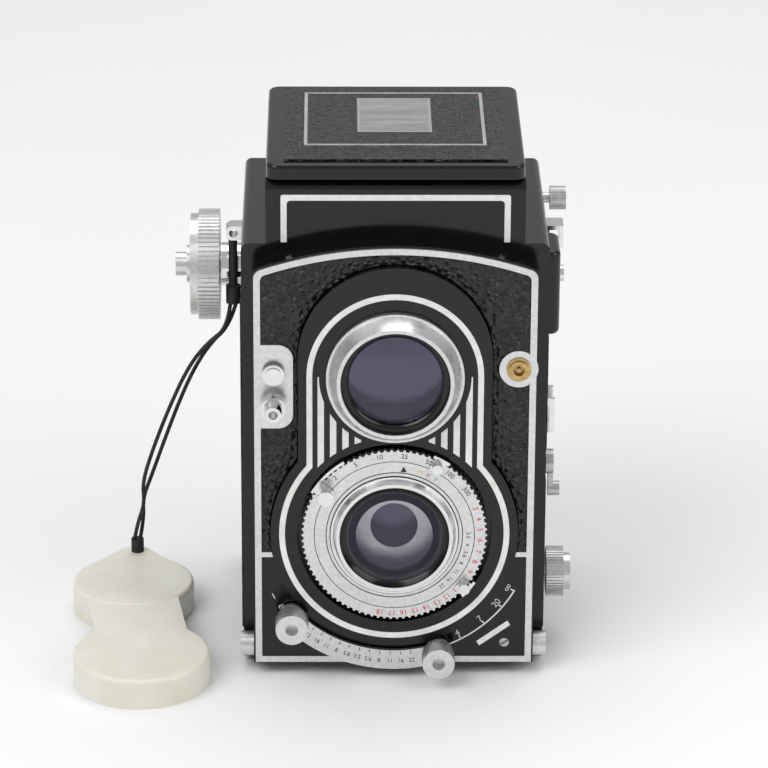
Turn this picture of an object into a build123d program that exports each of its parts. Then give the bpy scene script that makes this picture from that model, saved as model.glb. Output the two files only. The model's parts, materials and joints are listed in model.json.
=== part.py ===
from build123d import *
import math
import os

# Twin lens reflex camera, millimetres.
# The front faces -Y, +Z is up, and the origin is the mouth of the tripod socket, on the floor plane.

# Driving dimensions: body
BODY_W = 82.0            # housing width
BODY_Y0 = -34.0          # housing front plane
BODY_Y1 = 33.0           # housing back plane
BODY_Z0 = 1.5            # housing underside
BODY_Z1 = 123.0          # housing top
WALL = 2.0
SKIN = 0.5               # thickness of leather and inlaid plates
GAP = 0.3                # clearance between bodies that move past each other
RUN = 0.06               # radial clearance of a running fit

# Front cover and trim
COVER_W = 76.2
COVER_D = 8.0
COVER_Z0 = 3.5
ARCH_R = 110.1           # radius of the arched top edge
ARCH_TOP = 125.3
TRIM_W = 75.2
TRIM_BAND = 1.75
TRIM_D = 0.9
BRIDGE_Z = 36.3          # height of the short trim bridges
BRIDGE_H = 1.4

# Lens board and optics
TAKE_Z = 43.4            # taking lens axis height
VIEW_Z = 89.2            # viewing lens axis height
STRIPE_LOW_R = 31.04
STRIPE_TOP_R = 23.6
STRIPE_W = 1.55
STRIPE_D = 0.25
BOARD_LOW_R = 33.4
BOARD_TOP_R = 25.9
BOARD_RISE = 5.0         # height of the board's arch centre above the viewing axis
BOARD_FRONT = -44.8
BOARD_BACK = -38.0
SHUTTER_R = 25.0         # toothed speed ring, 50 mm across
SPEED_IN_R = 21.7
POCKET_R = 26.3
TAKE_RING_R = 17.2
TAKE_GLASS_R = 14.8
VIEW_RING_R = 18.4
VIEW_RIM_R = 15.6
VIEW_GLASS_R = 14.6
SPEED_TEETH = 90

# Focus lever
LEVER_IN_R = 35.2
LEVER_OUT_R = 40.8
LEVER_KNOB_R = 4.45
LEVER_KNOB_AT = 37.2
LEVER_LEFT = 222.0       # angles about the taking axis, counter-clockwise from +X
LEVER_RIGHT = 289.0
FOCUS_TRAVEL = 2.0       # the lens board moves this far each way

# Hood
HOOD_W = 68.8
HOOD_Y0 = -34.0
HOOD_Y1 = 32.0
HOOD_TOP = 140.6
HOOD_WALL = 1.6
LID_T = 4.0
LID_PIVOT_Y = 34.0
LID_PIVOT_Z = 140.7
LEAF_T = 0.6

# Film transport
KNOB_Y = 8.0
KNOB_Z = 101.0
KNOB_R = 15.3
SPOOL_R = 11.0
SPOOL_HALF = 29.0
TAKE_UP_Y = 12.0
TAKE_UP_Z = 90.0
SUPPLY_Y = -15.0
SUPPLY_Z = 18.4
GEAR_TEETH = 12
GATE_Y = 26.0
GATE_WINDOW = 56.0

# Back door
DOOR_T = 2.0
DOOR_PIVOT_Y = 35.6
DOOR_PIVOT_Z = 121.6
PIN_R = 0.8
KNUCKLE_R = 1.6

# Tripod socket, 1/4 inch
SOCKET_R = 3.175
SOCKET_DEPTH = 6.0

HALF = BODY_W / 2
FRONT = BODY_Y0 - COVER_D
INNER = HALF - WALL

os.makedirs("parts", exist_ok=True)


def block(x0, x1, y0, y1, z0, z1):
    size = Box(x1 - x0, y1 - y0, z1 - z0)
    return Pos((x0 + x1) / 2, (y0 + y1) / 2, (z0 + z1) / 2) * size


def rod_x(x0, x1, y, z, r):
    return Pos((x0 + x1) / 2, y, z) * Rot(0, 90, 0) * Cylinder(r, x1 - x0)


def rod_y(y0, y1, x, z, r):
    return Pos(x, (y0 + y1) / 2, z) * Rot(90, 0, 0) * Cylinder(r, y1 - y0)


def rod_z(z0, z1, x, y, r):
    return Pos(x, y, (z0 + z1) / 2) * Cylinder(r, z1 - z0)


def ring_y(y0, y1, x, z, r_in, r_out):
    return rod_y(y0, y1, x, z, r_out) - rod_y(y0 - 1, y1 + 1, x, z, r_in)


def cone_y(y_back, y_front, x, z, r_back, r_front):
    """A cone that narrows or widens towards the front."""
    body = Cone(r_back, r_front, y_back - y_front)
    return Pos(x, (y_back + y_front) / 2, z) * Rot(90, 0, 0) * body


def toothed(teeth, r_root, r_tip, width, phase=0.0):
    """Flat outline with straight-sided teeth; width is the tooth's share of its pitch."""
    points = []
    pitch = 360.0 / teeth
    for i in range(teeth):
        mid = phase + i * pitch
        for offset, r in ((-width, r_root), (-width / 2, r_tip), (width / 2, r_tip), (width, r_root)):
            a = math.radians(mid + offset * pitch / 2)
            points.append((r * math.cos(a), r * math.sin(a)))
    return make_face(Polyline(*points, close=True))


def toothed_x(x0, x1, y, z, profile):
    """Extrude an outline along +X; its own x runs along +Y and its own y along +Z."""
    plane = Plane(origin=(x0, y, z), x_dir=(0, 1, 0), z_dir=(1, 0, 0))
    return extrude(plane * profile, x1 - x0)


def toothed_y(y0, y1, x, z, profile):
    plane = Plane(origin=(x, y1, z), x_dir=(1, 0, 0), z_dir=(0, -1, 0))
    return extrude(plane * profile, y1 - y0)


def sector(y0, y1, r_in, r_out, a0, a1, z=None):
    """Part of a ring about the taking axis between two angles."""
    z = TAKE_Z if z is None else z
    steps = max(2, int((a1 - a0) / 20) + 1)
    points = [(0.0, 0.0)]
    for i in range(steps + 1):
        a = math.radians(a0 + (a1 - a0) * i / steps)
        points.append((2 * r_out * math.cos(a), 2 * r_out * math.sin(a)))
    wedge = toothed_y(y0, y1, 0, z, make_face(Polyline(*points, close=True)))
    return ring_y(y0, y1, 0, z, r_in, r_out) & wedge


def keyhole(y0, y1, low_r, top_r, top_z=VIEW_Z):
    """Outline of the lens board: a large circle below, an arch above, and straight sides."""
    neck = block(-top_r, top_r, y0, y1, TAKE_Z, top_z)
    return rod_y(y0, y1, 0, TAKE_Z, low_r) + rod_y(y0, y1, 0, top_z, top_r) + neck


def arched(y0, y1, half, z0, top, radius, corner=3.0):
    """Upright plate with an arched top edge."""
    plate = block(-half, half, y0, y1, z0, top + 5)
    plate = plate & rod_y(y0, y1, 0, top - radius, radius)
    edges = plate.edges().filter_by(Axis.Y).group_by(Axis.Z)[-1]
    return fillet(edges, corner)


def polar(r, angle):
    a = math.radians(angle)
    return r * math.cos(a), TAKE_Z + r * math.sin(a)


parts = {}

# Housing: a box open at the back, with openings at the front and the top
MIRROR_OPEN = 31.0
housing = block(-HALF, HALF, BODY_Y0, BODY_Y1, BODY_Z0, BODY_Z1)
housing = fillet(housing.edges().filter_by(Axis.Y).group_by(Axis.Z)[-1], 2.0)
housing -= block(-INNER, INNER, BODY_Y0 + WALL, BODY_Y1 + 1, BODY_Z0 + WALL, BODY_Z1 - WALL)
housing -= block(-34.5, 34.5, BODY_Y0 - 1, BODY_Y0 + WALL + 1, 9, 119)
housing -= block(-MIRROR_OPEN, MIRROR_OPEN, -30, 28, BODY_Z1 - WALL - 1, BODY_Z1 + 1)
SOCKET_BOSS_R = 9.0
housing -= rod_z(0, BODY_Z0 + WALL + 1, 0, 0, SOCKET_BOSS_R)
ADV_SHAFT_R = 2.5
UPPER_KNOB_Y = 21.5
UPPER_KNOB_Z = 115.5
THIN_SHAFT_R = 1.5
SIDE_LEVER_Y = -27.0
SIDE_LEVER_Z = 57.0
BUTTON_Y = -22.0
BUTTON_Z = 110.0
LOWER_SHAFT_R = 1.7
housing -= rod_x(-HALF - 1, -INNER + 1, KNOB_Y, KNOB_Z, ADV_SHAFT_R + RUN)
housing -= rod_x(INNER - 1, HALF + 1, SUPPLY_Y, SUPPLY_Z, LOWER_SHAFT_R + RUN)
housing -= rod_x(INNER - 1, HALF + 1, UPPER_KNOB_Y, UPPER_KNOB_Z, THIN_SHAFT_R + RUN)
housing -= rod_x(INNER - 1, HALF + 1, SIDE_LEVER_Y, SIDE_LEVER_Z, THIN_SHAFT_R + RUN)
for sx in (-1, 1):
    for fy in (-26, 26):
        housing += rod_z(0, BODY_Z0, sx * 33, fy, 3.0)
    knuckle = rod_x(12.3, 30, DOOR_PIVOT_Y, DOOR_PIVOT_Z, KNUCKLE_R)
    knuckle += block(12.3, 30, BODY_Y1, DOOR_PIVOT_Y, DOOR_PIVOT_Z - 1, DOOR_PIVOT_Z + 1)
    knuckle -= rod_x(12, 31, DOOR_PIVOT_Y, DOOR_PIVOT_Z, PIN_R)
    if sx < 0:
        knuckle = mirror(knuckle, Plane.YZ)
    housing += knuckle
parts["main_housing"] = housing

# Tripod socket: a flange that seats in the floor of the housing
socket = rod_z(0, BODY_Z0, 0, 0, SOCKET_BOSS_R + 2)
socket += rod_z(BODY_Z0, SOCKET_DEPTH + 1.5, 0, 0, SOCKET_BOSS_R)
socket -= rod_z(-1, SOCKET_DEPTH, 0, 0, SOCKET_R)
parts["tripod_socket"] = socket

# Front cover: an arched shell with the keyhole opening
cover = arched(FRONT, BODY_Y0, COVER_W / 2, COVER_Z0, ARCH_TOP, ARCH_R)
cavity = arched(FRONT + WALL, BODY_Y0 + 1, COVER_W / 2 - WALL, COVER_Z0 + WALL, ARCH_TOP - 6, ARCH_R)
cover -= cavity
opening = keyhole(FRONT - 5, BODY_Y0, BOARD_LOW_R + GAP, BOARD_TOP_R + GAP, VIEW_Z + BOARD_RISE)
cover -= opening
SLOT_IN = LEVER_IN_R + 0.1
SLOT_OUT = 36.9
RIB_IN = SLOT_IN + GAP
RIB_OUT = SLOT_OUT - GAP
lever_slot = sector(FRONT - 5, FRONT + 1.1, SLOT_IN, SLOT_OUT, LEVER_LEFT - 4, LEVER_RIGHT + 4)
cover -= lever_slot
RELEASE_X = -32.4
RELEASE_Z = 81.3
TOP_BUTTON_Z = 89.6
SYNC_X = 32.9
SYNC_Z = 90.6
PLUNGER_R = 2.0
BUTTON_STEM_R = 1.4
cover -= rod_y(FRONT - 1, FRONT + WALL + 1, RELEASE_X, RELEASE_Z, PLUNGER_R + RUN)
cover -= rod_y(FRONT - 1, FRONT + WALL + 1, RELEASE_X, TOP_BUTTON_Z, BUTTON_STEM_R + RUN)
parts["front_cover"] = cover

# Trim frame with the release tab, the round socket tab and two short bridges
TRIM_Z0 = 4.0
trim_y = FRONT - TRIM_D
inner_half = TRIM_W / 2 - TRIM_BAND
trim = arched(trim_y, FRONT, TRIM_W / 2, TRIM_Z0, ARCH_TOP - 0.5, ARCH_R - 0.5, 2.6)
trim_hole = arched(trim_y - 1, FRONT + 1, inner_half, TRIM_Z0 + TRIM_BAND, ARCH_TOP - 2.2, ARCH_R - 2, 1.8)
inset = arched(FRONT - SKIN, FRONT, inner_half, TRIM_Z0 + TRIM_BAND, ARCH_TOP - 2.2, ARCH_R - 2, 1.8)
trim -= trim_hole
tab = block(-TRIM_W / 2 + 0.3, -27.2, trim_y, FRONT, 73.5, 97.5)
tab = fillet(tab.edges().filter_by(Axis.Y), 4.0)
tab += block(-TRIM_W / 2 + 0.3, -33, trim_y, FRONT, 73.5, 97.5)
round_tab = rod_y(trim_y, FRONT, SYNC_X, SYNC_Z, 5.2)
bridges = block(-inner_half, inner_half, trim_y, FRONT, BRIDGE_Z - BRIDGE_H / 2, BRIDGE_Z + BRIDGE_H / 2)
trim = trim + tab + round_tab + bridges
trim -= opening
trim -= rod_y(trim_y - 1, FRONT + 1, RELEASE_X, RELEASE_Z, PLUNGER_R + RUN)
trim -= rod_y(trim_y - 1, FRONT + 1, RELEASE_X, TOP_BUTTON_Z, BUTTON_STEM_R + RUN)
trim -= rod_y(trim_y - 1, FRONT + 1, SYNC_X, SYNC_Z, 2.6)
parts["front_trim"] = trim

panel = inset - opening - tab - round_tab
upper = block(-HALF, HALF, FRONT - 2, FRONT + 2, BRIDGE_Z + BRIDGE_H / 2, 200)
lower = block(-HALF, HALF, FRONT - 2, FRONT + 2, 0, BRIDGE_Z - BRIDGE_H / 2)
parts["front_leather"] = panel & upper
parts["scale_plates"] = (panel & lower) - lever_slot

# Flash socket in the round tab: barrel with a centre contact
sync = rod_y(trim_y - 1.2, FRONT, SYNC_X, SYNC_Z, 2.6)
sync += ring_y(trim_y - 0.6, trim_y, SYNC_X, SYNC_Z, 2.5, 3.3)
sync -= rod_y(trim_y - 2, FRONT - 0.4, SYNC_X, SYNC_Z, 1.5)
sync += rod_y(trim_y - 0.9, FRONT - 0.3, SYNC_X, SYNC_Z, 0.6)
parts["sync_socket"] = sync

# Release button with its threaded cable socket, and the small button above it
release = rod_y(trim_y - 0.4, FRONT + 6, RELEASE_X, RELEASE_Z, PLUNGER_R)
release += rod_y(trim_y - 5.4, trim_y - 2.4, RELEASE_X, RELEASE_Z, 3.3)
release += rod_y(trim_y - 2.4, trim_y - 0.4, RELEASE_X, RELEASE_Z, PLUNGER_R)
release += cone_y(trim_y - 5.4, trim_y - 9.6, RELEASE_X, RELEASE_Z, 2.6, 2.15)
release -= cone_y(trim_y - 6.0, trim_y - 9.7, RELEASE_X, RELEASE_Z, 0.9, 1.25)
parts["release_button"] = release
top_button = rod_y(trim_y - 1.6, FRONT + 4, RELEASE_X, TOP_BUTTON_Z, BUTTON_STEM_R)
top_button += rod_y(trim_y - 2.2, trim_y - 1.3, RELEASE_X, TOP_BUTTON_Z, 2.9)
top_button += rod_y(trim_y - 2.8, trim_y - 2.2, RELEASE_X, TOP_BUTTON_Z, 2.2)
parts["top_button"] = top_button

# Side leather, side fittings and the fairing with its small button
side_skin = []
for sx in (-1, 1):
    x0, x1 = sorted((sx * HALF, sx * (HALF + SKIN)))
    skin = block(x0, x1, -29, 29, 8, 104)
    skin -= rod_x(x0 - 1, x1 + 1, KNOB_Y, KNOB_Z, 7) if sx < 0 else rod_x(x0 - 1, x1 + 1, SUPPLY_Y, SUPPLY_Z, 5)
    if sx > 0:
        skin -= block(x0 - 1, x1 + 1, -31, -13, 94, 105)
        skin -= rod_x(x0 - 1, x1 + 1, SIDE_LEVER_Y, SIDE_LEVER_Z, 5)
        skin -= block(x0 - 1, x1 + 1, -13, -1, 58, 70)
    side_skin.append(skin)
parts["side_leather"] = side_skin

FAIRING_X = 44.2
fairing = block(HALF, FAIRING_X, -30, -14, 95, 119)
fairing = fillet(fairing.edges().filter_by(Axis.Z).group_by(Axis.X)[-1], 2.5)
fairing = fillet(fairing.edges().filter_by(Axis.Y).group_by(Axis.X)[-1], 1.5)
fairing -= rod_x(HALF - 1, FAIRING_X + 1, BUTTON_Y, BUTTON_Z, 2.2 + RUN)
parts["side_fairing"] = fairing
parts["fairing_button"] = rod_x(HALF + 1.0, FAIRING_X + 1.2, BUTTON_Y, BUTTON_Z, 2.2)

LUG_Y = -3.0
LUG_Z = 115.0
lug_left = block(-HALF - 4.6, -HALF, LUG_Y - 2.5, LUG_Y + 2.5, LUG_Z - 2, LUG_Z + 2)
lug_left = fillet(lug_left.edges().filter_by(Axis.Y).group_by(Axis.X)[0], 1.6)
lug_left -= rod_y(LUG_Y - 3, LUG_Y + 3, -HALF - 2.6, LUG_Z, 1.2)
lug_right = block(HALF, HALF + 5.0, LUG_Y - 4, LUG_Y + 2.5, LUG_Z - 3.6, LUG_Z + 2.8)
lug_right -= block(HALF + 1.2, HALF + 3.8, LUG_Y - 5, LUG_Y + 3, LUG_Z - 2.4, LUG_Z + 1.6)
shoe = block(HALF, HALF + 1.2, -12, -2, 59, 69)
shoe += block(HALF + 1.2, HALF + 3.4, -12, -10.6, 59, 69)
shoe += block(HALF + 1.2, HALF + 3.4, -3.4, -2, 59, 69)
parts["strap_lugs"] = [lug_left, lug_right, shoe]

studs = []
for sx in (-1, 1):
    x0, x1 = sorted((sx * (COVER_W / 2), sx * (COVER_W / 2 + 3.6)))
    studs.append(rod_x(x0, x1, -37.6, 7.2, 3.4))
parts["side_studs"] = studs

# Side lever on the right wall
side_lever = rod_x(INNER - 0.5, HALF + 2.4, SIDE_LEVER_Y, SIDE_LEVER_Z, THIN_SHAFT_R)
side_lever += rod_x(HALF + GAP, HALF + 2.4, SIDE_LEVER_Y, SIDE_LEVER_Z, 3.4)
side_lever += block(HALF + 1, HALF + 2.4, SIDE_LEVER_Y - 1.6, SIDE_LEVER_Y + 1.6, SIDE_LEVER_Z - 9, SIDE_LEVER_Z)
side_lever += rod_x(HALF + 1, HALF + 4.2, SIDE_LEVER_Y, SIDE_LEVER_Z - 8, 2.0)
parts["side_lever"] = side_lever

# Film gate, mirror and focusing screen
gate = block(-INNER, INNER, GATE_Y, GATE_Y + WALL, 10, 78)
gate -= block(-GATE_WINDOW / 2, GATE_WINDOW / 2, GATE_Y - 1, GATE_Y + WALL + 1,
              TAKE_Z - GATE_WINDOW / 2, TAKE_Z + GATE_WINDOW / 2)
parts["film_gate"] = gate
MIRROR_Y = -10.0
RAIL_DROP = 11.3         # the rails hold the lower half of the mirror, clear of the gears
mirror_plate = Pos(0, MIRROR_Y, VIEW_Z) * Rot(45, 0, 0) * Box(2 * INNER - 16, 60, 1.6)
for sx in (-1, 1):
    rail = Box(8, 26, 1.6)
    mirror_plate += Pos(sx * (INNER - 4), MIRROR_Y - RAIL_DROP, VIEW_Z - RAIL_DROP) * Rot(45, 0, 0) * rail
parts["reflex_mirror"] = mirror_plate
parts["focusing_screen"] = block(-HOOD_W / 2 + 2, HOOD_W / 2 - 2, HOOD_Y0 + 2, 30.2, BODY_Z1, BODY_Z1 + 1.8)

# Hood base: four walls on the housing, with hinge cheeks for the lid at the rear
hood = block(-HOOD_W / 2, HOOD_W / 2, HOOD_Y0, HOOD_Y1, BODY_Z1, HOOD_TOP)
hood = chamfer(hood.edges().filter_by(Axis.X).group_by(Axis.Z)[-1].group_by(Axis.Y)[0], 2.4)
hood -= block(-HOOD_W / 2 + HOOD_WALL, HOOD_W / 2 - HOOD_WALL, HOOD_Y0 + HOOD_WALL,
              HOOD_Y1 - HOOD_WALL, BODY_Z1 - 1, HOOD_TOP + 1)
for sx in (-1, 1):
    cheek = rod_x(14.3, 26, LID_PIVOT_Y, LID_PIVOT_Z, KNUCKLE_R)
    cheek += block(14.3, 26, HOOD_Y1 - 1, LID_PIVOT_Y, LID_PIVOT_Z - 4, LID_PIVOT_Z - 0.4)
    cheek -= rod_x(14, 27, LID_PIVOT_Y, LID_PIVOT_Z, PIN_R)
    if sx < 0:
        cheek = mirror(cheek, Plane.YZ)
    hood += cheek
hood -= block(-27, 27, HOOD_Y1 - 6, HOOD_Y1, LID_PIVOT_Z - 0.2, LID_PIVOT_Z + 5)
parts["hood_base"] = hood

# Lid with a recessed underside
LID_HALF = HOOD_W / 2 - 0.2
LID_Z0 = HOOD_TOP + GAP
LID_Y1 = 31.2
lid = block(-LID_HALF, LID_HALF, HOOD_Y0, LID_Y1, LID_Z0, LID_Z0 + LID_T)
lid = fillet(lid.edges().filter_by(Axis.Z), 3.0)
lid = fillet(lid.edges().group_by(Axis.Z)[-1], 1.0)
lid -= block(-31, 31, -31, 28, LID_Z0 - 1, LID_Z0 + 2.2)
lid_knuckle = rod_x(-14, 14, LID_PIVOT_Y, LID_PIVOT_Z, KNUCKLE_R)
lid_knuckle += block(-14, 14, LID_Y1 - 1, LID_PIVOT_Y, LID_Z0 + 0.2, LID_Z0 + 1.4)
lid_knuckle -= rod_x(-15, 15, LID_PIVOT_Y, LID_PIVOT_Z, PIN_R + RUN)
lid += lid_knuckle
parts["hood_lid"] = lid
LID_TOP = LID_Z0 + LID_T
parts["lid_leather"] = block(-29.6, 29.6, -30.5, 28, LID_TOP, LID_TOP + SKIN) \
    - block(-24.3, 24.3, -20.5, 22.5, LID_TOP - 1, LID_TOP + 2)
panel_base = block(-24, 24, -20.2, 22.2, LID_TOP, LID_TOP + 0.9)
panel_base = chamfer(panel_base.edges().group_by(Axis.Z)[-1], 0.6)
parts["finder_panel"] = panel_base

# Folding leaves inside the hood
LEAF_LEN = 17.0
LEAF_PIVOT_X = 31.6
LEAF_Z = 135.0
TAPER_Y = 8.0
for name, sx in (("leaf_left", -1), ("leaf_right", 1)):
    outline = Polyline((LEAF_PIVOT_X, -26), (LEAF_PIVOT_X, 26), (LEAF_PIVOT_X - 2.5, 26),
                       (LEAF_PIVOT_X - LEAF_LEN, TAPER_Y), (LEAF_PIVOT_X - LEAF_LEN, -26), close=True)
    leaf = extrude(Plane.XY.offset(LEAF_Z) * make_face(outline), LEAF_T)
    leaf += Pos(LEAF_PIVOT_X, 0, LEAF_Z + LEAF_T / 2) * Rot(90, 0, 0) * Cylinder(0.8, 52)
    parts[name] = mirror(leaf, Plane.YZ) if sx < 0 else leaf
FRONT_LEAF_Y = -31.0
front_leaf = block(-13.8, 13.8, FRONT_LEAF_Y, FRONT_LEAF_Y + 15, LEAF_Z, LEAF_Z + LEAF_T)
front_leaf += rod_x(-13.8, 13.8, FRONT_LEAF_Y, LEAF_Z + LEAF_T / 2, 0.8)
parts["leaf_front"] = front_leaf

# Magnifier: a frame with its lens, hinged under the front edge of the lid
MAG_PIVOT_Y = -29.4
MAG_PIVOT_Z = LID_Z0 + 0.7
magnifier = block(-12, 12, MAG_PIVOT_Y + 0.6, MAG_PIVOT_Y + 22, MAG_PIVOT_Z - 0.6, MAG_PIVOT_Z + 0.6)
magnifier -= rod_z(MAG_PIVOT_Z - 2, MAG_PIVOT_Z + 2, 0, MAG_PIVOT_Y + 11.5, 8.5)
magnifier += rod_x(-12, 12, MAG_PIVOT_Y, MAG_PIVOT_Z, 0.9)
parts["magnifier_frame"] = magnifier
parts["magnifier_lens"] = rod_z(MAG_PIVOT_Z - 0.5, MAG_PIVOT_Z + 0.5, 0, MAG_PIVOT_Y + 11.5, 8.5)

# Hinge pins of the door and the lid, pressed into their outer knuckles
parts["hinge_pins"] = [
    rod_x(-30, 30, DOOR_PIVOT_Y, DOOR_PIVOT_Z, PIN_R),
    rod_x(-26, 26, LID_PIVOT_Y, LID_PIVOT_Z, PIN_R),
]

# Back door with leather, pressure plate and latch
door_y = BODY_Y1 + 0.4
door = block(-HALF, HALF, door_y, door_y + DOOR_T, BODY_Z0 + 0.5, 119.4)
door = fillet(door.edges().filter_by(Axis.Y), 2.0)
door += block(-11.9, 11.9, door_y, door_y + DOOR_T, 117, DOOR_PIVOT_Z)
door += rod_x(-11.9, 11.9, DOOR_PIVOT_Y, DOOR_PIVOT_Z, KNUCKLE_R)
door -= rod_x(-13, 13, DOOR_PIVOT_Y, DOOR_PIVOT_Z, PIN_R + RUN)
parts["back_door"] = door
back_skin = block(-HALF + 2, HALF - 2, door_y + DOOR_T, door_y + DOOR_T + SKIN, 14, 115)
parts["back_leather"] = back_skin
PLATE_Y = GATE_Y + WALL + 0.5
plate = block(-30, 30, PLATE_Y, PLATE_Y + 1, TAKE_Z - 29, TAKE_Z + 29)
for sx in (-1, 1):
    plate += rod_y(PLATE_Y + 1, door_y, sx * 16, TAKE_Z, 4)
parts["pressure_plate"] = plate
latch = block(-9, 9, door_y + DOOR_T + 0.05, door_y + DOOR_T + 1.8, 5, 11)
latch = fillet(latch.edges().filter_by(Axis.Y), 1.5)
parts["door_latch"] = latch

# Lens board, stripes and optics
board = keyhole(BOARD_FRONT, BOARD_BACK, BOARD_LOW_R, BOARD_TOP_R, VIEW_Z + BOARD_RISE)
board -= rod_y(BOARD_FRONT - 1, BOARD_FRONT + 3.8, 0, TAKE_Z, POCKET_R)
SHUTTER_BARREL_R = 16.3
VIEW_BARREL_R = 16.8
board -= rod_y(BOARD_FRONT - 1, BOARD_BACK + 1, 0, TAKE_Z, SHUTTER_BARREL_R)
board -= rod_y(BOARD_FRONT - 1, BOARD_BACK + 1, 0, VIEW_Z, VIEW_BARREL_R)
parts["lens_board"] = board

stripe_y = BOARD_FRONT - STRIPE_D
stripe = keyhole(stripe_y, BOARD_FRONT, STRIPE_LOW_R, STRIPE_TOP_R)
stripe -= keyhole(stripe_y - 1, BOARD_FRONT + 1, STRIPE_LOW_R - STRIPE_W, STRIPE_TOP_R - STRIPE_W)
BAR_PITCH = 3.3
BAR_FIRST = 19.8
BAR_W = 1.7
bars = []
for i in range(4):
    for sx in (-1, 1):
        x = sx * (BAR_FIRST - i * BAR_PITCH)
        bar = block(x - BAR_W / 2, x + BAR_W / 2, stripe_y, BOARD_FRONT, TAKE_Z, VIEW_Z)
        bar -= rod_y(stripe_y - 1, BOARD_FRONT + 1, 0, VIEW_Z, 20.3)
        bar -= rod_y(stripe_y - 1, BOARD_FRONT + 1, 0, TAKE_Z, 28.5)
        bars.append(bar)
parts["board_stripes"] = [stripe] + bars

view_barrel = rod_y(BOARD_FRONT, -34, 0, VIEW_Z, VIEW_BARREL_R) - rod_y(BOARD_FRONT - 1, -33, 0, VIEW_Z, VIEW_GLASS_R)
parts["viewing_barrel"] = view_barrel
VIEW_FRONT = BOARD_FRONT - 5.7
view_ring = rod_y(BOARD_FRONT - 1.6, BOARD_FRONT, 0, VIEW_Z, VIEW_RING_R)
view_ring += cone_y(BOARD_FRONT - 1.6, VIEW_FRONT, 0, VIEW_Z, VIEW_RING_R - 0.6, VIEW_RIM_R)
view_ring -= rod_y(VIEW_FRONT - 1, BOARD_FRONT + 1, 0, VIEW_Z, VIEW_GLASS_R)
parts["viewing_ring"] = view_ring


def lens(y_back, y_edge, bulge, z, r):
    """Flat-backed lens with a domed front that stands bulge ahead of its edge."""
    sphere_r = (r * r + bulge * bulge) / (2 * bulge)
    dome = Pos(0, y_edge - bulge + sphere_r, z) * Sphere(sphere_r)
    return rod_y(y_edge - bulge, y_back, 0, z, r) & dome


parts["viewing_glass"] = [
    lens(BOARD_FRONT + 1, BOARD_FRONT - 2.4, 2.2, VIEW_Z, VIEW_GLASS_R),
    rod_y(-37, -35, 0, VIEW_Z, VIEW_GLASS_R),
]

FLANGE_Y = BOARD_FRONT + 0.9
shutter = rod_y(FLANGE_Y, BOARD_FRONT + 3.8, 0, TAKE_Z, SHUTTER_R - 0.4)
shutter += rod_y(BOARD_FRONT + 3.8, -30, 0, TAKE_Z, SHUTTER_BARREL_R)
shutter -= rod_y(FLANGE_Y - 1, -29, 0, TAKE_Z, 12)
parts["shutter_housing"] = shutter
DIAL_FRONT = stripe_y - 0.7
parts["dial_plate"] = ring_y(DIAL_FRONT, FLANGE_Y, 0, TAKE_Z, TAKE_RING_R + 0.05, SPEED_IN_R - 0.2)
speed = toothed_y(DIAL_FRONT, FLANGE_Y - 0.1, 0, TAKE_Z,
                  toothed(SPEED_TEETH, SHUTTER_R - 0.5, SHUTTER_R, 0.5))
speed -= rod_y(DIAL_FRONT - 1, FLANGE_Y + 1, 0, TAKE_Z, SPEED_IN_R)
parts["speed_ring"] = speed
TAKE_FRONT = DIAL_FRONT - 2.0
take_ring = rod_y(DIAL_FRONT - 0.4, FLANGE_Y, 0, TAKE_Z, TAKE_RING_R)
take_ring += cone_y(DIAL_FRONT - 0.4, TAKE_FRONT, 0, TAKE_Z, TAKE_RING_R - 0.5, TAKE_GLASS_R + 0.9)
take_ring -= rod_y(TAKE_FRONT - 1, FLANGE_Y + 1, 0, TAKE_Z, TAKE_GLASS_R)
parts["taking_ring"] = take_ring
parts["taking_glass"] = [
    lens(FLANGE_Y, DIAL_FRONT - 0.3, 1.6, TAKE_Z, TAKE_GLASS_R),
    rod_y(-33, -31, 0, TAKE_Z, 12),
]
blades = ring_y(-38.6, -38.2, 0, TAKE_Z, 6, 12)
parts["aperture_blades"] = blades


# Levers that swing about the taking axis in the pocket around the shutter
LEVER_BAND_IN = SHUTTER_R + 0.25
LEVER_BAND_OUT = POCKET_R - GAP
LEVER_TOP = DIAL_FRONT - 0.2


def swing_lever(a0, a1, post_angle, post_r, post_len, r_base, r_tip):
    lever = sector(LEVER_TOP - 0.7, FLANGE_Y + 2, LEVER_BAND_IN, LEVER_BAND_OUT, a0, a1)
    lever += sector(LEVER_TOP - 0.7, LEVER_TOP, post_r - 1.6, LEVER_BAND_OUT, post_angle - 4, post_angle + 4)
    x, z = polar(post_r, post_angle)
    lever += cone_y(LEVER_TOP - 0.5, LEVER_TOP - 0.5 - post_len, x, z, r_base, r_tip)
    return lever


parts["cocking_lever"] = swing_lever(122, 150, 145, 22.5, 4.6, 1.7, 2.1)
parts["sync_lever"] = swing_lever(55, 66, 61, 23.4, 2.4, 1.6, 1.4)
parts["aperture_lever"] = swing_lever(316, 328, 322, 24.0, 2.6, 1.7, 1.5)

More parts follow.
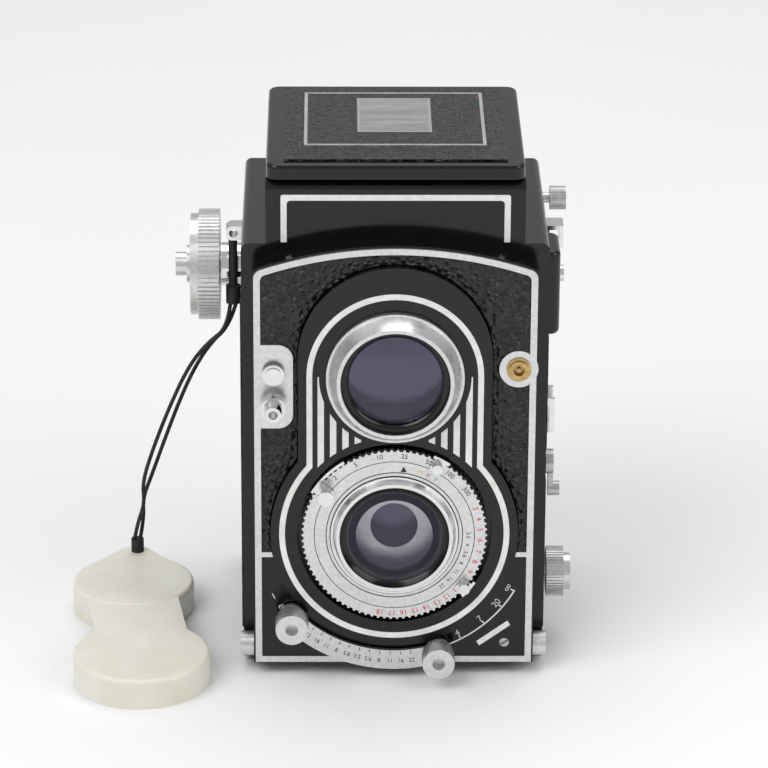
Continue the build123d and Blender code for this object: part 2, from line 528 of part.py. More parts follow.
# Focus lever: an arc below the lens with a mushroom knob at each end
lever_y = trim_y - GAP - 1.2
arc = sector(lever_y, lever_y + 1.2, LEVER_IN_R, LEVER_OUT_R, LEVER_LEFT, LEVER_RIGHT)
arc += sector(lever_y + 1.2, FRONT + 0.8, RIB_IN, RIB_OUT, 242, 268)
focus_knobs = []
for angle in (LEVER_LEFT, LEVER_RIGHT):
    x, z = polar(LEVER_KNOB_AT, angle)
    arc += rod_y(lever_y, lever_y + 1.2, x, z, 3.4)
    knob_back = lever_y - FOCUS_TRAVEL - 0.7
    knob = rod_y(knob_back, lever_y, x, z, 1.7)
    knob += toothed_y(knob_back - 4.6, knob_back, x, z, toothed(36, LEVER_KNOB_R - 0.25, LEVER_KNOB_R, 0.5))
    knob += rod_y(knob_back - 6.0, knob_back - 4.6, x, z, LEVER_KNOB_R - 0.1)
    knob -= rod_y(knob_back - 7, knob_back - 3, x, z, 1.7)
    focus_knobs.append(knob)
parts["focus_lever"] = arc
parts["focus_knobs"] = focus_knobs

# Film advance: knob, shaft and gear on the left, and the spool that the gear drives
KNOB_BACK = -47.6
KNOB_FACE = -53.4
GEAR_X0 = -INNER + 0.4
GEAR_X1 = GEAR_X0 + 2.4
pitch_r = math.hypot(TAKE_UP_Y - KNOB_Y, TAKE_UP_Z - KNOB_Z) / 2
mesh_angle = math.degrees(math.atan2(TAKE_UP_Z - KNOB_Z, TAKE_UP_Y - KNOB_Y))
drive = toothed(GEAR_TEETH, pitch_r - 1.1, pitch_r + 0.6, 0.36, mesh_angle)
driven = toothed(GEAR_TEETH, pitch_r - 1.1, pitch_r + 0.6, 0.36, mesh_angle + 180 + 180 / GEAR_TEETH)
advance = toothed_x(KNOB_FACE, KNOB_BACK, KNOB_Y, KNOB_Z, toothed(72, KNOB_R - 0.5, KNOB_R, 0.5))
advance += rod_x(-55.6, KNOB_FACE, KNOB_Y, KNOB_Z, 14.0)
advance += rod_x(-56.7, -55.6, KNOB_Y, KNOB_Z, 5.2)
advance += rod_x(-59.8, -56.7, KNOB_Y, KNOB_Z, 3.3)
advance += rod_x(KNOB_BACK, GEAR_X1, KNOB_Y, KNOB_Z, ADV_SHAFT_R)
advance += toothed_x(GEAR_X0, GEAR_X1, KNOB_Y, KNOB_Z, drive)
parts["advance_knob"] = advance
bearing = rod_x(-KNOB_BACK * -1 + 0.4, -HALF, KNOB_Y, KNOB_Z, 6.0)
bearing -= rod_x(KNOB_BACK - 1, -HALF + 1, KNOB_Y, KNOB_Z, ADV_SHAFT_R + RUN)
parts["advance_bearing"] = bearing


def spool(y, z):
    body = rod_x(-SPOOL_HALF, SPOOL_HALF, y, z, 4.0)
    for x0 in (-SPOOL_HALF, SPOOL_HALF - 1):
        body += rod_x(x0, x0 + 1, y, z, SPOOL_R)
    return body


take_up = spool(TAKE_UP_Y, TAKE_UP_Z) + rod_x(-INNER + 0.2, INNER - 0.2, TAKE_UP_Y, TAKE_UP_Z, 2.0)
take_up += toothed_x(GEAR_X0, GEAR_X1, TAKE_UP_Y, TAKE_UP_Z, driven)
parts["take_up_spool"] = take_up
supply = spool(SUPPLY_Y, SUPPLY_Z) + rod_x(-INNER + 0.2, 0, SUPPLY_Y, SUPPLY_Z, THIN_SHAFT_R)
supply -= rod_x(SPOOL_HALF - 7, SPOOL_HALF + 1, SUPPLY_Y, SUPPLY_Z, LOWER_SHAFT_R + GAP)
parts["supply_spool"] = supply

lower_knob = rod_x(SPOOL_HALF - 5.5, 44, SUPPLY_Y, SUPPLY_Z, LOWER_SHAFT_R)
lower_knob += toothed_x(42.6, 47.4, SUPPLY_Y, SUPPLY_Z, toothed(48, 6.6, 7.0, 0.5))
lower_knob += rod_x(47.4, 49.2, SUPPLY_Y, SUPPLY_Z, 5.2)
parts["lower_knob"] = lower_knob
upper_knob = rod_x(INNER - 0.5, 46, UPPER_KNOB_Y, UPPER_KNOB_Z, THIN_SHAFT_R)
upper_knob += toothed_x(43.5, 48, UPPER_KNOB_Y, UPPER_KNOB_Z, toothed(30, 3.0, 3.3, 0.5))
parts["upper_knob"] = upper_knob

# Film rollers above and below the gate
for name, z in (("upper_roller", 80.8), ("lower_roller", 7.0)):
    roller = rod_x(-30, 30, 25.6, z, 2.2)
    roller += rod_x(-INNER + 0.2, INNER - 0.2, 25.6, z, 1.0)
    parts[name] = roller

# Double lens cap lying on the floor
CAP_H = 8.5
CAP_NEAR = (-68.7, -45.0)
CAP_FAR = (-72.8, 0.6)
CAP_NEAR_R = 18.7
CAP_FAR_R = 17.0
APEX = (-73.2, 22.6)
cap = rod_z(0, CAP_H, CAP_NEAR[0], CAP_NEAR[1], CAP_NEAR_R)
cap += rod_z(0, CAP_H, CAP_FAR[0], CAP_FAR[1], CAP_FAR_R)
cap = fillet(cap.edges().group_by(Axis.Z)[-1], 1.2)
neck_line = Polyline((CAP_NEAR[0] - 12.5, CAP_NEAR[1] + 10), (CAP_NEAR[0] + 12.5, CAP_NEAR[1] + 10),
                     (CAP_FAR[0] + 12.5, CAP_FAR[1] - 8), (CAP_FAR[0] - 12.5, CAP_FAR[1] - 8), close=True)
cap += extrude(Plane.XY.offset(CAP_H - 3.2) * make_face(neck_line), 3.0)
apex_line = Polyline((CAP_FAR[0] - 12, CAP_FAR[1] + 10), (CAP_FAR[0] + 12, CAP_FAR[1] + 10),
                     (APEX[0] + 3, APEX[1]), (APEX[0] - 3, APEX[1]), close=True)
cap += extrude(Plane.XY.offset(CAP_H - 3.2) * make_face(apex_line), 3.0)
cap -= rod_z(-1, CAP_H - 2.4, CAP_NEAR[0], CAP_NEAR[1], CAP_NEAR_R - 1.4)
cap -= rod_z(-1, CAP_H - 2.4, CAP_FAR[0], CAP_FAR[1], CAP_FAR_R - 1.4)
parts["lens_cap"] = cap

# Lanyard: a bundled loop at the lug, two thin strands, and a knot on the cap
CORD_D = 1.1
KNOT_AT = (-43.8, -3.0)
KNOT_Z = 94.0
END_AT = (-72.4, 20.0)
END_Z = 12.2
knot = rod_z(KNOT_Z, KNOT_Z + 5, KNOT_AT[0], KNOT_AT[1], 2.0)
knot += rod_z(KNOT_Z + 5, LUG_Z - 2, KNOT_AT[0], KNOT_AT[1], 1.2)
end_knot = rod_z(CAP_H - 0.2, END_Z, END_AT[0], END_AT[1], 1.8)
parts["cord_knots"] = [knot, end_knot]
LEFT_ROUTE = [
    (KNOT_AT[0] - 0.8, KNOT_AT[1], KNOT_Z),
    (-45.4, -3.2, 86.5), (-51.2, 0.2, 80.6), (-56.6, 3.0, 72.4), (-62.3, 6.6, 58.4), (-67.2, 10.4, 44.1),
    (-70.4, 13.2, 32.7), (-70.0, 15.4, 25.0), (-72.0, 18.6, 18.4),
    (END_AT[0] - 0.8, END_AT[1], END_Z),
]
RIGHT_ROUTE = [
    (KNOT_AT[0] + 0.8, KNOT_AT[1], KNOT_Z),
    (-44.9, 0.2, 86.0), (-50.6, 3.6, 79.0), (-55.2, 5.6, 70.6), (-59.3, 8.8, 60.0), (-63.6, 12.2, 47.2),
    (-67.6, 15.6, 34.6), (-70.6, 18.0, 25.6), (-70.4, 20.0, 18.8),
    (END_AT[0] + 0.8, END_AT[1], END_Z),
]


def cord_tube(points, d):
    """Straight runs joined by tangent arcs, each as large as its two runs allow."""
    pts = [Vector(*p) for p in points]
    radii = []
    for a, b, c in zip(pts, pts[1:], pts[2:]):
        turn = math.radians((b - a).get_angle(c - b))
        radii.append(0.45 * min((b - a).length, (c - b).length) / math.tan(turn / 2))
    path = FilletPolyline(*points, radius=radii)
    print("cord radii", [round(r, 1) for r in radii], "length", round(path.length, 1))
    profile = Plane(origin=path @ 0, z_dir=path % 0) * Circle(d / 2)
    tube = sweep(profile, path=path)
    print("cord volume ratio", round(tube.volume / (math.pi * d * d / 4 * path.length), 4))
    return tube


parts["cord_left"] = cord_tube(LEFT_ROUTE, CORD_D)
parts["cord_right"] = cord_tube(RIGHT_ROUTE, CORD_D)

for name, shape in parts.items():
    solids = shape if isinstance(shape, list) else [shape]
    solids = [s for item in solids for s in item.solids()]
    export_step(Compound(children=solids), f"parts/{name}.step")
print(len(parts), "nodes")
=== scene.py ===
import json
import math
import bpy
from mathutils import Matrix, Vector

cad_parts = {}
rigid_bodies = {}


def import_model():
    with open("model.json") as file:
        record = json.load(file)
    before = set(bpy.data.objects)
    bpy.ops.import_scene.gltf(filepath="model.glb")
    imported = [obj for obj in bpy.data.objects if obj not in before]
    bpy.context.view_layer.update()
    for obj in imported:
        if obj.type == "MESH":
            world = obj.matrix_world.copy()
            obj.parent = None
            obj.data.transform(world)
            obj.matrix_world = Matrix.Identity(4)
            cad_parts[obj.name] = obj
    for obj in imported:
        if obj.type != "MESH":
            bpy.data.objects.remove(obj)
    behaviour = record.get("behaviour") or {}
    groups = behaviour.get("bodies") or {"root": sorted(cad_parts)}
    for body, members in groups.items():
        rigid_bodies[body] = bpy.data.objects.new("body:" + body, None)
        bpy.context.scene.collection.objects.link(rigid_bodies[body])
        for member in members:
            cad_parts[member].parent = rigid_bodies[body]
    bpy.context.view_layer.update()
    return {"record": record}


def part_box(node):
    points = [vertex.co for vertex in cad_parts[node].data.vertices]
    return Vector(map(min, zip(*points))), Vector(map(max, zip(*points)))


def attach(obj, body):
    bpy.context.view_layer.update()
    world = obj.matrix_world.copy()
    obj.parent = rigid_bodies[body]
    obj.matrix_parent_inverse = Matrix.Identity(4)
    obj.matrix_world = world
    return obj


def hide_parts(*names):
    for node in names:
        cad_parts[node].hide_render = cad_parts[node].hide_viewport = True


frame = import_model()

MM = 0.001

# Places in millimetres, in the frame of the CAD model
TAKE_Z = 43.4
VIEW_Z = 89.2
PLATE_FACE = -42.5       # front of the scale plates and the leather
DIAL_FACE = -45.75       # front of the shutter dial and the speed ring
ARC_FACE = -44.4         # front of the focus lever
HOOD_FACE = -34.0
RAISE = 0.05             # printed marks stand this far off their surface


# Materials ----------------------------------------------------------------------------------

MIX_COLOUR_A = 6         # sockets of a Mix node that mixes colours
MIX_COLOUR_B = 7
MIX_COLOUR_OUT = 2


def new_material(name):
    mat = bpy.data.materials.new(name)
    mat.use_nodes = True
    tree = mat.node_tree
    return mat, tree, tree.nodes["Principled BSDF"]


def coordinates(tree, scale=(1, 1, 1)):
    coord = tree.nodes.new("ShaderNodeTexCoord")
    mapping = tree.nodes.new("ShaderNodeMapping")
    mapping.inputs["Scale"].default_value = scale
    tree.links.new(coord.outputs["Object"], mapping.inputs["Vector"])
    return mapping.outputs["Vector"]


def noise(tree, vector, scale, detail=4.0):
    node = tree.nodes.new("ShaderNodeTexNoise")
    node.inputs["Scale"].default_value = scale
    node.inputs["Detail"].default_value = detail
    tree.links.new(vector, node.inputs["Vector"])
    return node.outputs["Fac"]


def ramp(tree, factor, stops):
    node = tree.nodes.new("ShaderNodeValToRGB")
    elements = node.color_ramp.elements
    while len(elements) < len(stops):
        elements.new(0.5)
    for element, (place, colour) in zip(elements, stops):
        element.position = place
        element.color = (*colour, 1)
    tree.links.new(factor, node.inputs["Fac"])
    return node.outputs["Color"]


def bump(tree, shader, height, strength, distance):
    node = tree.nodes.new("ShaderNodeBump")
    node.inputs["Strength"].default_value = strength
    node.inputs["Distance"].default_value = distance
    tree.links.new(height, node.inputs["Height"])
    tree.links.new(node.outputs["Normal"], shader.inputs["Normal"])


def grey(value):
    return (value, value, value)


def surface(name, dark, light, rough, metallic=0.0, scale=300.0, stretch=(1, 1, 1), depth=0.00002,
            strength=0.25):
    """Colour, roughness and fine relief from one noise, for metal, paint and plastic."""
    mat, tree, shader = new_material(name)
    vector = coordinates(tree, stretch)
    fine = noise(tree, vector, scale)
    colour = ramp(tree, fine, [(0.3, dark), (0.7, light)])
    tree.links.new(colour, shader.inputs["Base Color"])
    blotch = noise(tree, vector, scale / 8)
    roughness = ramp(tree, blotch, [(0.35, grey(rough[0])), (0.65, grey(rough[1]))])
    tree.links.new(roughness, shader.inputs["Roughness"])
    shader.inputs["Metallic"].default_value = metallic
    bump(tree, shader, fine, strength, depth)
    return mat


def leather_material():
    """Pebbled black leatherette: painted highlight on the pebble tops, painted shade in the valleys, and a
    few spots worn brown.
    """
    mat, tree, shader = new_material("leatherette")
    vector = coordinates(tree)
    cells = tree.nodes.new("ShaderNodeTexVoronoi")
    cells.feature = "SMOOTH_F1"
    cells.inputs["Scale"].default_value = 820.0
    tree.links.new(vector, cells.inputs["Vector"])
    # Painted highlight and painted shade: the colour is lighter on each pebble's top and darker in the
    # valleys between pebbles.
    painted_pebble_light_and_shade = ramp(tree, cells.outputs["Distance"], [(0.15, (0.024, 0.023, 0.023)), (0.55, grey(0.003))])
    wear = noise(tree, vector, 140.0, 6.0)
    worn = ramp(tree, wear, [(0.70, grey(0.0)), (0.76, grey(1.0))])
    mix = tree.nodes.new("ShaderNodeMix")
    mix.data_type = "RGBA"
    tree.links.new(worn, mix.inputs["Factor"])
    tree.links.new(painted_pebble_light_and_shade, mix.inputs[MIX_COLOUR_A])
    mix.inputs[MIX_COLOUR_B].default_value = (0.16, 0.075, 0.030, 1)
    tree.links.new(mix.outputs[MIX_COLOUR_OUT], shader.inputs["Base Color"])
    shader.inputs["Roughness"].default_value = 0.36
    shader.inputs["Specular IOR Level"].default_value = 0.45
    invert = tree.nodes.new("ShaderNodeMath")
    invert.operation = "SUBTRACT"
    invert.inputs[0].default_value = 1.0
    tree.links.new(cells.outputs["Distance"], invert.inputs[1])
    bump(tree, shader, invert.outputs["Value"], 1.0, 0.0011)
    return mat


def enamel_material():
    """Gloss black enamel with small worn specks."""
    mat, tree, shader = new_material("black_enamel")
    vector = coordinates(tree)
    specks = noise(tree, vector, 420.0, 8.0)
    colour = ramp(tree, specks, [(0.40, (0.0025, 0.0025, 0.003)), (0.74, (0.005, 0.005, 0.005)),
                                 (0.80, (0.11, 0.075, 0.045))])
    tree.links.new(colour, shader.inputs["Base Color"])
    haze = noise(tree, vector, 40.0)
    tree.links.new(ramp(tree, haze, [(0.3, grey(0.10)), (0.7, grey(0.20))]), shader.inputs["Roughness"])
    shader.inputs["Specular IOR Level"].default_value = 0.42
    bump(tree, shader, specks, 0.08, 0.00003)
    return mat


def glass_material(name, tint, base_rough=0.0):
    """Clear or ground glass with a thin film of dust."""
    mat, tree, shader = new_material(name)
    vector = coordinates(tree)
    dust = noise(tree, vector, 700.0, 2.0)
    low, high = base_rough + 0.01, base_rough + 0.05
    tree.links.new(ramp(tree, dust, [(0.6, grey(low)), (0.8, grey(high))]), shader.inputs["Roughness"])
    shader.inputs["Base Color"].default_value = (*tint, 1)
    shader.inputs["Transmission Weight"].default_value = 1.0
    shader.inputs["IOR"].default_value = 1.52
    shader.inputs["Specular Tint"].default_value = (0.72, 0.68, 0.95, 1)
    return mat


def milky_material():
    mat = surface("milky_plastic", (0.80, 0.77, 0.66), (0.90, 0.88, 0.80), (0.32, 0.46), scale=60.0,
                  depth=0.0001, strength=0.15)
    shader = mat.node_tree.nodes["Principled BSDF"]
    shader.inputs["Subsurface Weight"].default_value = 0.6
    shader.inputs["Subsurface Radius"].default_value = (0.004, 0.0035, 0.0025)
    shader.inputs["Transmission Weight"].default_value = 0.12
    return mat


BRUSH = (1, 8, 8)
MATERIALS = {
    "black_enamel": enamel_material(),
    "leatherette": leather_material(),
    "satin_silver": surface("satin_silver", grey(0.62), grey(0.74), (0.24, 0.36), 0.9, 900.0),
    "chrome": surface("chrome", grey(0.72), grey(0.80), (0.08, 0.20), 1.0, 250.0),
    "white_paint": surface("white_paint", (0.70, 0.69, 0.66), (0.82, 0.81, 0.79), (0.3, 0.5),
                           scale=500.0),
    "glass": glass_material("glass", (0.93, 0.92, 0.95)),
    "ground_glass": glass_material("ground_glass", (0.85, 0.87, 0.86), 0.4),
    "mirror": surface("mirror", grey(0.86), grey(0.90), (0.02, 0.06), 1.0, 80.0),
    "steel": surface("steel", grey(0.42), grey(0.55), (0.28, 0.44), 1.0, 400.0, BRUSH),
    "brass": surface("brass", (0.42, 0.27, 0.11), (0.62, 0.45, 0.20), (0.25, 0.45), 1.0, 500.0),
    "cord_black": surface("cord_black", grey(0.006), grey(0.03), (0.6, 0.9), scale=2500.0, depth=0.0002,
                          strength=0.9),
    "milky_plastic": milky_material(),
    "black_plastic": surface("black_plastic", grey(0.012), grey(0.02), (0.35, 0.55), scale=500.0),
}
INK_SHADES = {
    "ink_black": (grey(0.01), grey(0.03)),
    "ink_red": ((0.52, 0.03, 0.03), (0.66, 0.07, 0.05)),
    "ink_yellow": ((0.70, 0.48, 0.04), (0.80, 0.60, 0.08)),
    "ink_teal": ((0.10, 0.28, 0.28), (0.16, 0.36, 0.36)),
    "ink_white": (grey(0.66), grey(0.78)),
}
INKS = {name: surface(name, *shades, (0.5, 0.7), scale=900.0) for name, shades in INK_SHADES.items()}


def dress_cad_nodes():
    for row in frame["record"]["subparts"]:
        obj = bpy.data.objects[row["node"]]
        obj.data.materials.clear()
        obj.data.materials.append(MATERIALS[row["material_slot"]])


# Mesh helpers -------------------------------------------------------------------------------

def finish_piece(obj, material, body):
    obj.data.materials.append(material)
    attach(obj, body)
    return obj


def mesh_piece(name, verts, faces, material, body, smooth=False):
    mesh = bpy.data.meshes.new(name)
    mesh.from_pydata([Vector(v) * MM for v in verts], [], faces)
    mesh.validate()
    mesh.update()
    if smooth:
        mesh.shade_smooth()
    obj = bpy.data.objects.new(name, mesh)
    bpy.context.scene.collection.objects.link(obj)
    return finish_piece(obj, material, body)


def slab(name, outline, y_front, depth, material, body, slot):
    """A closed plate from an outline of (x, z) points, counter-clockwise as seen from the front."""
    n = len(outline)
    verts = [(x, y_front, z) for x, z in outline] + [(x, y_front + depth, z) for x, z in outline]
    faces = [tuple(range(n)), tuple(reversed(range(n, 2 * n)))]
    faces += [(i, i + n, (i + 1) % n + n, (i + 1) % n) for i in range(n)]
    return mesh_piece(name, verts, faces, material, body)


def band_faces(n, closed):
    """Faces of a band whose points are front outer, front inner, back outer and back inner, n of each."""
    faces = []
    for i in range(n if closed else n - 1):
        j = (i + 1) % n
        faces.append((i, j, n + j, n + i))
        faces.append((2 * n + j, 2 * n + i, 3 * n + i, 3 * n + j))
        faces.append((j, i, 2 * n + i, 2 * n + j))
        faces.append((n + i, n + j, 3 * n + j, 3 * n + i))
    if not closed:
        faces.append((0, n, 3 * n, 2 * n))
        faces.append((n - 1, 3 * n - 1, 4 * n - 1, 2 * n - 1))
    return faces


def open_band(name, outer, inner, y_front, depth, material, body):
    """A band with two ends, between two outlines with the same number of (x, z) points."""
    verts = []
    for y in (y_front, y_front + depth):
        verts += [(x, y, z) for x, z in outer]
        verts += [(x, y, z) for x, z in inner]
    return mesh_piece(name, verts, band_faces(len(outer), False), material, body)


def flat_band(name, outer, inner, z_top, z_bottom, slot):
    """A flat frame on the lid, between two outlines of (x, y) points."""
    verts = []
    for z in (z_top, z_bottom):
        verts += [(x, y, z) for x, y in outer]
        verts += [(x, y, z) for x, y in inner]
    return mesh_piece(name, verts, band_faces(len(outer), True), MATERIALS[slot], "lid")


def lathe(name, profile, z, material, body, segments=96):
    """A closed profile of (radius, y) points turned about a lens axis."""
    verts = []
    faces = []
    n = len(profile)
    for s in range(segments):
        a = 2 * math.pi * s / segments
        verts += [(r * math.cos(a), y, z + r * math.sin(a)) for r, y in profile]
    for s in range(segments):
        t = (s + 1) % segments
        for i in range(n):
            j = (i + 1) % n
            faces.append((s * n + i, s * n + j, t * n + j, t * n + i))
    return mesh_piece(name, verts, faces, material, body, smooth=True)


def arc_points(radius, start, end, z=TAKE_Z, steps=48):
    points = []
    for i in range(steps + 1):
        a = math.radians(start + (end - start) * i / steps)
        points.append((radius * math.cos(a), z + radius * math.sin(a)))
    return points


def arc_band(name, r_in, r_out, start, end, y, material, body, slot):
    outer = arc_points(r_out, start, end)
    inner = arc_points(r_in, start, end)
    return open_band(name, outer, inner, y - RAISE, RAISE, material, body)


def mark(text, name, radius, angle, turn, size, y, ink, body, slot):
    """One number or letter lying on a front face, at an angle about the taking lens axis."""
    a = math.radians(angle)
    place(text, name, (radius * math.cos(a), TAKE_Z + radius * math.sin(a)), turn, size, y, ink, body, slot)


def place(text, name, at, turn, size, y, ink, body, slot):
    curve = bpy.data.curves.new(name, "FONT")
    curve.body = text
    curve.size = size * MM
    curve.extrude = RAISE * MM / 2
    curve.align_x = "CENTER"
    curve.align_y = "CENTER"
    obj = bpy.data.objects.new(name, curve)
    bpy.context.scene.collection.objects.link(obj)
    upright = Matrix.Rotation(math.radians(90), 4, "X")
    turned = Matrix.Rotation(math.radians(-turn), 4, "Y")
    obj.matrix_world = Matrix.Translation(Vector((at[0], y - RAISE / 2, at[1])) * MM) @ turned @ upright
    finish_piece(obj, INKS[ink], body)


def tick(name, radius, length, angle, y, ink, body, slot, width=0.28):
    a = math.radians(angle)
    across = (-math.sin(a) * width / 2, math.cos(a) * width / 2)
    inner = (radius * math.cos(a), TAKE_Z + radius * math.sin(a))
    outer = ((radius + length) * math.cos(a), TAKE_Z + (radius + length) * math.sin(a))
    outline = [(inner[0] - across[0], inner[1] - across[1]), (outer[0] - across[0], outer[1] - across[1]),
               (outer[0] + across[0], outer[1] + across[1]), (inner[0] + across[0], inner[1] + across[1])]
    slab(name, outline, y - RAISE, RAISE, INKS[ink], body, slot)


# Scales -------------------------------------------------------------------------------------

EXPOSURES = range(3, 19)
APERTURES = ("3.5", "4", "5.6", "8", "11", "16", "22")
SPEEDS = ("1", "2", "5", "10", "25", "50", "100", "300")
SYNC_MARKS = (("M", 69.8, "ink_yellow"), ("X", 63.0, "ink_red"), ("V", 56.5, "ink_teal"))
DEPTHS = ("22", "16", "11", "8", "5.6", "3.5", "5.6", "8", "11", "16", "22")
DISTANCES = (("∞", 331.0), ("20", 322.0), ("7", 311.5), ("4", 299.5))


def shutter_scales():
    """Numbers of the speed ring and the dial, which stand upright as seen from the lens axis."""
    def outward(text, name, radius, angle, size, ink, body):
        mark(text, name, radius, angle, angle - 90, size, DIAL_FACE, ink, body, "satin_silver")

    for i, value in enumerate(EXPOSURES):
        outward(str(value), f"exposure_{value}", 23.1, 19.9 - 7.95 * i, 2.1, "ink_red", "speed_ring")
    for i, value in enumerate(APERTURES):
        outward(value, f"aperture_{i}", 19.9, -8.2 * i, 1.6, "ink_black", "lens_unit")
    for i, value in enumerate(SPEEDS):
        outward(value, f"speed_{i}", 23.2, 150 - 16.6 * i, 1.9, "ink_black", "speed_ring")
    for value, angle, ink in SYNC_MARKS:
        outward(value, f"sync_{value}", 19.7, angle, 1.8, ink, "lens_unit")
    tip = math.radians(83)
    x, z = 19.4 * math.cos(tip), TAKE_Z + 19.4 * math.sin(tip)
    outline = [(x - 0.85, z - 0.7), (x + 0.85, z - 0.7), (x, z + 0.95)]
    slab("speed_index", outline, DIAL_FACE - RAISE, RAISE, INKS["ink_black"], "lens_unit", "satin_silver")


def focus_scales():
    """Depth scale on the focus lever, and distance scale on the plate below it."""
    lever = ("focus_lever", "satin_silver")
    plate = ("root", "black_enamel")
    for i, value in enumerate(DEPTHS):
        angle = 232.5 + 4.5 * i
        mark(value, f"depth_{i}", 38.4, angle, angle - 270, 1.7, ARC_FACE, "ink_black", *lever)
        tick(f"depth_tick_{i}", 35.5, 1.0, angle, ARC_FACE, "ink_black", *lever, 0.2)
    for i, (value, angle) in enumerate(DISTANCES):
        mark(value, f"distance_{i}", 35.4, angle, angle - 270, 2.5, PLATE_FACE, "ink_white", *plate)
        tick(f"distance_tick_{i}", 36.2, 1.1, angle, PLATE_FACE, "ink_white", *plate, 0.35)
    arc_band("distance_line", 37.2, 37.6, 293, 331.4, PLATE_FACE, INKS["ink_white"], *plate)
    place("1", "distance_near", (-32.6, 23.6), 25, 2.6, PLATE_FACE, "ink_white", *plate)
    place("m", "distance_unit", (-30.6, 20.8), 25, 2.2, PLATE_FACE, "ink_white", *plate)
    bar = [(22.6, 10.1), (23.4, 8.8), (31.8, 15.0), (31.0, 16.3)]
    slab("white_index_bar", bar, PLATE_FACE - RAISE, RAISE, INKS["ink_white"], *plate)


# Details ------------------------------------------------------------------------------------

INLAY = 0.15             # thickness of the painted border on the hood
CORNER_STEPS = 8


def rounded_u(half, bottom, top, radius):
    """Left leg, rounded top corners and right leg of an upside-down U."""
    points = [(-half, bottom)]
    for centre_x, start in ((-half + radius, 180), (half - radius, 90)):
        for i in range(CORNER_STEPS + 1):
            a = math.radians(start - 90 * i / CORNER_STEPS)
            points.append((centre_x + radius * math.cos(a), top - radius + radius * math.sin(a)))
    points.append((half, bottom))
    return points


def hood_border():
    bottom, top, half, line = 123.4, 136.7, 30.4, 1.6
    outer = rounded_u(half, bottom, top, 0.6)
    inner = rounded_u(half - line, bottom, top - line, 1.0)
    open_band("name_border", outer, inner, HOOD_FACE - INLAY, INLAY, MATERIALS["white_paint"], "root")


def rectangle(half, y0, y1, inset=0.0):
    return [(-half + inset, y0 + inset), (half - inset, y0 + inset), (half - inset, y1 - inset),
            (-half + inset, y1 - inset)]


def lid_details():
    """Frame line around the finder panel, and the metal plate on the panel with its rim."""
    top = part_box("finder_panel")[1][2] / MM
    leather_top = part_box("lid_leather")[1][2] / MM
    line, rim = 0.9, 0.8
    frame_edge = (24.3, -20.5, 22.5)
    flat_band("finder_frame", rectangle(*frame_edge), rectangle(*frame_edge, line),
              top + 0.05, leather_top - 0.5, "satin_silver")
    plate_edge = (10, -10.3, 17.5)
    plate = rectangle(*plate_edge, rim)
    sunk = top - 0.2
    flat_band("finder_plate_rim", rectangle(*plate_edge), plate, top + 0.12, sunk, "chrome")
    verts = [(x, y, z) for z in (top + 0.06, sunk) for x, y in plate]
    faces = [(0, 1, 2, 3), (7, 6, 5, 4), (0, 4, 5, 1), (1, 5, 6, 2), (2, 6, 7, 3), (3, 7, 4, 0)]
    mesh_piece("finder_plate", verts, faces, MATERIALS["steel"], "lid")


def lens_rings():
    """Black rings that hold the two front glasses, and the two lines on the shutter dial."""
    taking = [(10.3, -45.55), (14.7, -47.0), (14.7, -46.2), (10.3, -45.3)]
    lathe("taking_inner_ring", taking, TAKE_Z, MATERIALS["black_enamel"], "lens_unit")
    viewing = [(12.2, -46.9), (14.5, -49.8), (14.5, -47.4), (12.2, -46.7)]
    lathe("viewing_inner_ring", viewing, VIEW_Z, MATERIALS["black_enamel"], "lens_unit")
    half_line = 0.12
    for i, radius in enumerate((17.35, 18.4)):
        inner, outer = radius - half_line, radius + half_line
        face = DIAL_FACE - RAISE
        ring = [(inner, face), (outer, face), (outer, DIAL_FACE), (inner, DIAL_FACE)]
        lathe(f"dial_groove_{i}", ring, TAKE_Z, INKS["ink_black"], "lens_unit")


def screw(name, x, z, radius):
    """Round-headed slotted screw on the front plate; the slot is not cut but laid on the head in black, as
    painted shade.
    """
    head, half_slot, slot_angle, segments = 0.35, 0.18, 0.6, 32
    outline = []
    for i in range(segments):
        a = 2 * math.pi * i / segments
        outline.append((x + radius * math.cos(a), z + radius * math.sin(a)))
    slab(name, outline, PLATE_FACE - head, head, MATERIALS["steel"], "root", "steel")
    dx, dz = math.cos(slot_angle) * radius * 0.9, math.sin(slot_angle) * radius * 0.9
    ox, oz = -math.sin(slot_angle) * half_slot, math.cos(slot_angle) * half_slot
    slot = [(x - dx - ox, z - dz - oz), (x + dx - ox, z + dz - oz),
            (x + dx + ox, z + dz + oz), (x - dx + ox, z - dz + oz)]
    # The slot: a flat black mark on the head, painted shade where the cut slot would lie in shadow.
    slab(f"{name}_slot", slot, PLATE_FACE - head - RAISE, RAISE, INKS["ink_black"], "root", "steel")


# Cords: each strand runs from its knot under the lug to its knot on the cap --------------------

KNOT = Vector((-43.8, -3.0, 94.0))
END = Vector((-72.4, 20.0, 12.2))
STRAND_APART = Vector((0.8, 0, 0))
LEFT_ROUTE = [
    KNOT - STRAND_APART,
    (-45.4, -3.2, 86.5), (-51.2, 0.2, 80.6), (-56.6, 3.0, 72.4), (-62.3, 6.6, 58.4), (-67.2, 10.4, 44.1),
    (-70.4, 13.2, 32.7), (-70.0, 15.4, 25.0), (-72.0, 18.6, 18.4),
    END - STRAND_APART,
]
RIGHT_ROUTE = [
    KNOT + STRAND_APART,
    (-44.9, 0.2, 86.0), (-50.6, 3.6, 79.0), (-55.2, 5.6, 70.6), (-59.3, 8.8, 60.0), (-63.6, 12.2, 47.2),
    (-67.6, 15.6, 34.6), (-70.6, 18.0, 25.6), (-70.4, 20.0, 18.8),
    END + STRAND_APART,
]
CORD_D = 1.1


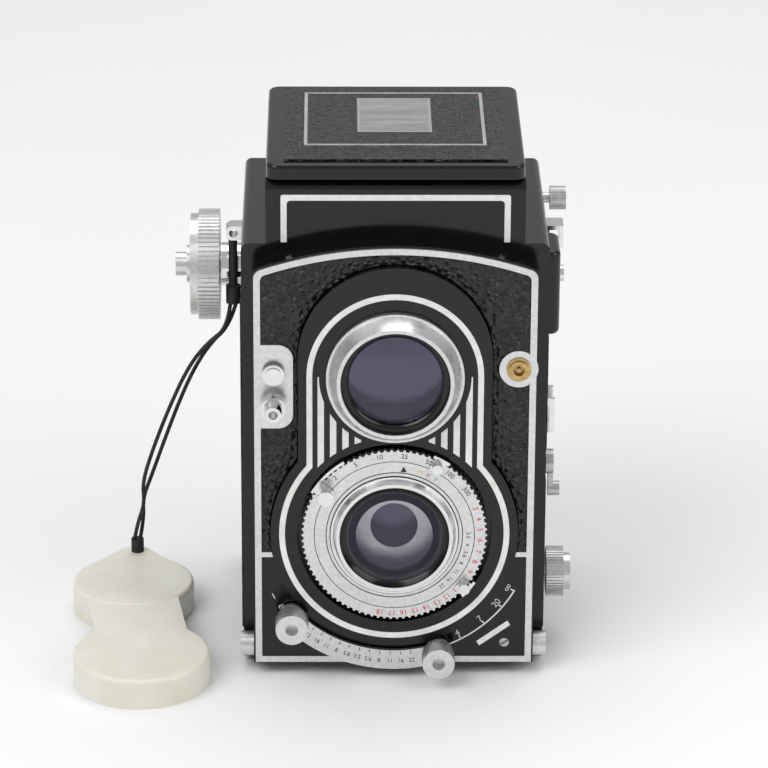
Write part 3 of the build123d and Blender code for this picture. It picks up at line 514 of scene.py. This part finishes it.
def cord_piece(name, node, route):
    curve = bpy.data.curves.new(name, "CURVE")
    curve.dimensions = "3D"
    spline = curve.splines.new("NURBS")
    spline.points.add(len(route) - 1)
    for point, place_at in zip(spline.points, route):
        point.co = (*(Vector(place_at) * MM), 1)
    spline.order_u = 3
    spline.use_endpoint_u = True
    spline.resolution_u = 12
    curve.bevel_depth = CORD_D * MM / 2
    curve.bevel_resolution = 5
    curve.use_fill_caps = True
    obj = bpy.data.objects.new(name, curve)
    bpy.context.scene.collection.objects.link(obj)
    finish_piece(obj, MATERIALS["cord_black"], "root")
    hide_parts(node)


# Scene --------------------------------------------------------------------------------------

def camera():
    """The photograph's view, from a camera fitted to the shape's straight and round features."""
    yaw, pitch, roll = (math.radians(a) for a in (0.7589, 22.711, -0.3016))
    forward = Vector((math.sin(yaw) * math.cos(pitch), math.cos(yaw) * math.cos(pitch), -math.sin(pitch)))
    right = Vector((math.cos(yaw), -math.sin(yaw), 0))
    down = forward.cross(right)
    side = right * math.cos(roll) + down * math.sin(roll)
    under = down * math.cos(roll) - right * math.sin(roll)
    data = bpy.data.cameras.new("camera")
    data.lens = 202.9
    data.sensor_width = 36.0
    data.clip_start = 0.01
    obj = bpy.data.objects.new("camera", data)
    axes = Matrix((side, -under, -forward)).transposed().to_4x4()
    obj.matrix_world = Matrix.Translation(Vector((-17.04, -1105.64, 531.21)) * MM) @ axes
    bpy.context.scene.collection.objects.link(obj)
    bpy.context.scene.camera = obj


def area_light(name, at, size, power, target=(0, 0, 0.07)):
    data = bpy.data.lights.new(name, "AREA")
    data.size = size
    data.energy = power
    obj = bpy.data.objects.new(name, data)
    obj.location = at
    obj.rotation_euler = (Vector(target) - Vector(at)).to_track_quat("-Z", "Y").to_euler()
    bpy.context.scene.collection.objects.link(obj)


def floor_and_light():
    mesh = bpy.data.meshes.new("floor")
    reach = 6.0
    corners = [(-reach, -reach, 0), (reach, -reach, 0), (reach, reach, 0), (-reach, reach, 0)]
    mesh.from_pydata(corners, [], [(0, 1, 2, 3)])
    floor = bpy.data.objects.new("floor", mesh)
    bpy.context.scene.collection.objects.link(floor)
    floor.data.materials.append(surface("pale_floor", grey(0.84), grey(0.87), (0.6, 0.8), 0.0, 3.0))
    world = bpy.data.worlds.new("world")
    world.use_nodes = True
    background = world.node_tree.nodes["Background"]
    background.inputs["Color"].default_value = (0.93, 0.94, 0.96, 1)
    background.inputs["Strength"].default_value = 0.55
    bpy.context.scene.world = world
    area_light("key", (-0.7, -0.7, 1.1), 0.9, 9.0)
    area_light("fill", (0.9, -0.6, 0.8), 0.8, 4.5)
    area_light("top", (0.1, 0.5, 1.3), 1.0, 6.0)
    bpy.context.scene.view_settings.view_transform = "Standard"


camera()
cord_piece("cord_left_strand", "cord_left", LEFT_ROUTE)
cord_piece("cord_right_strand", "cord_right", RIGHT_ROUTE)
floor_and_light()
dress_cad_nodes()
shutter_scales()
focus_scales()
hood_border()
lid_details()
lens_rings()
screw("plate_screw", 30.2, 9.9, 1.3)
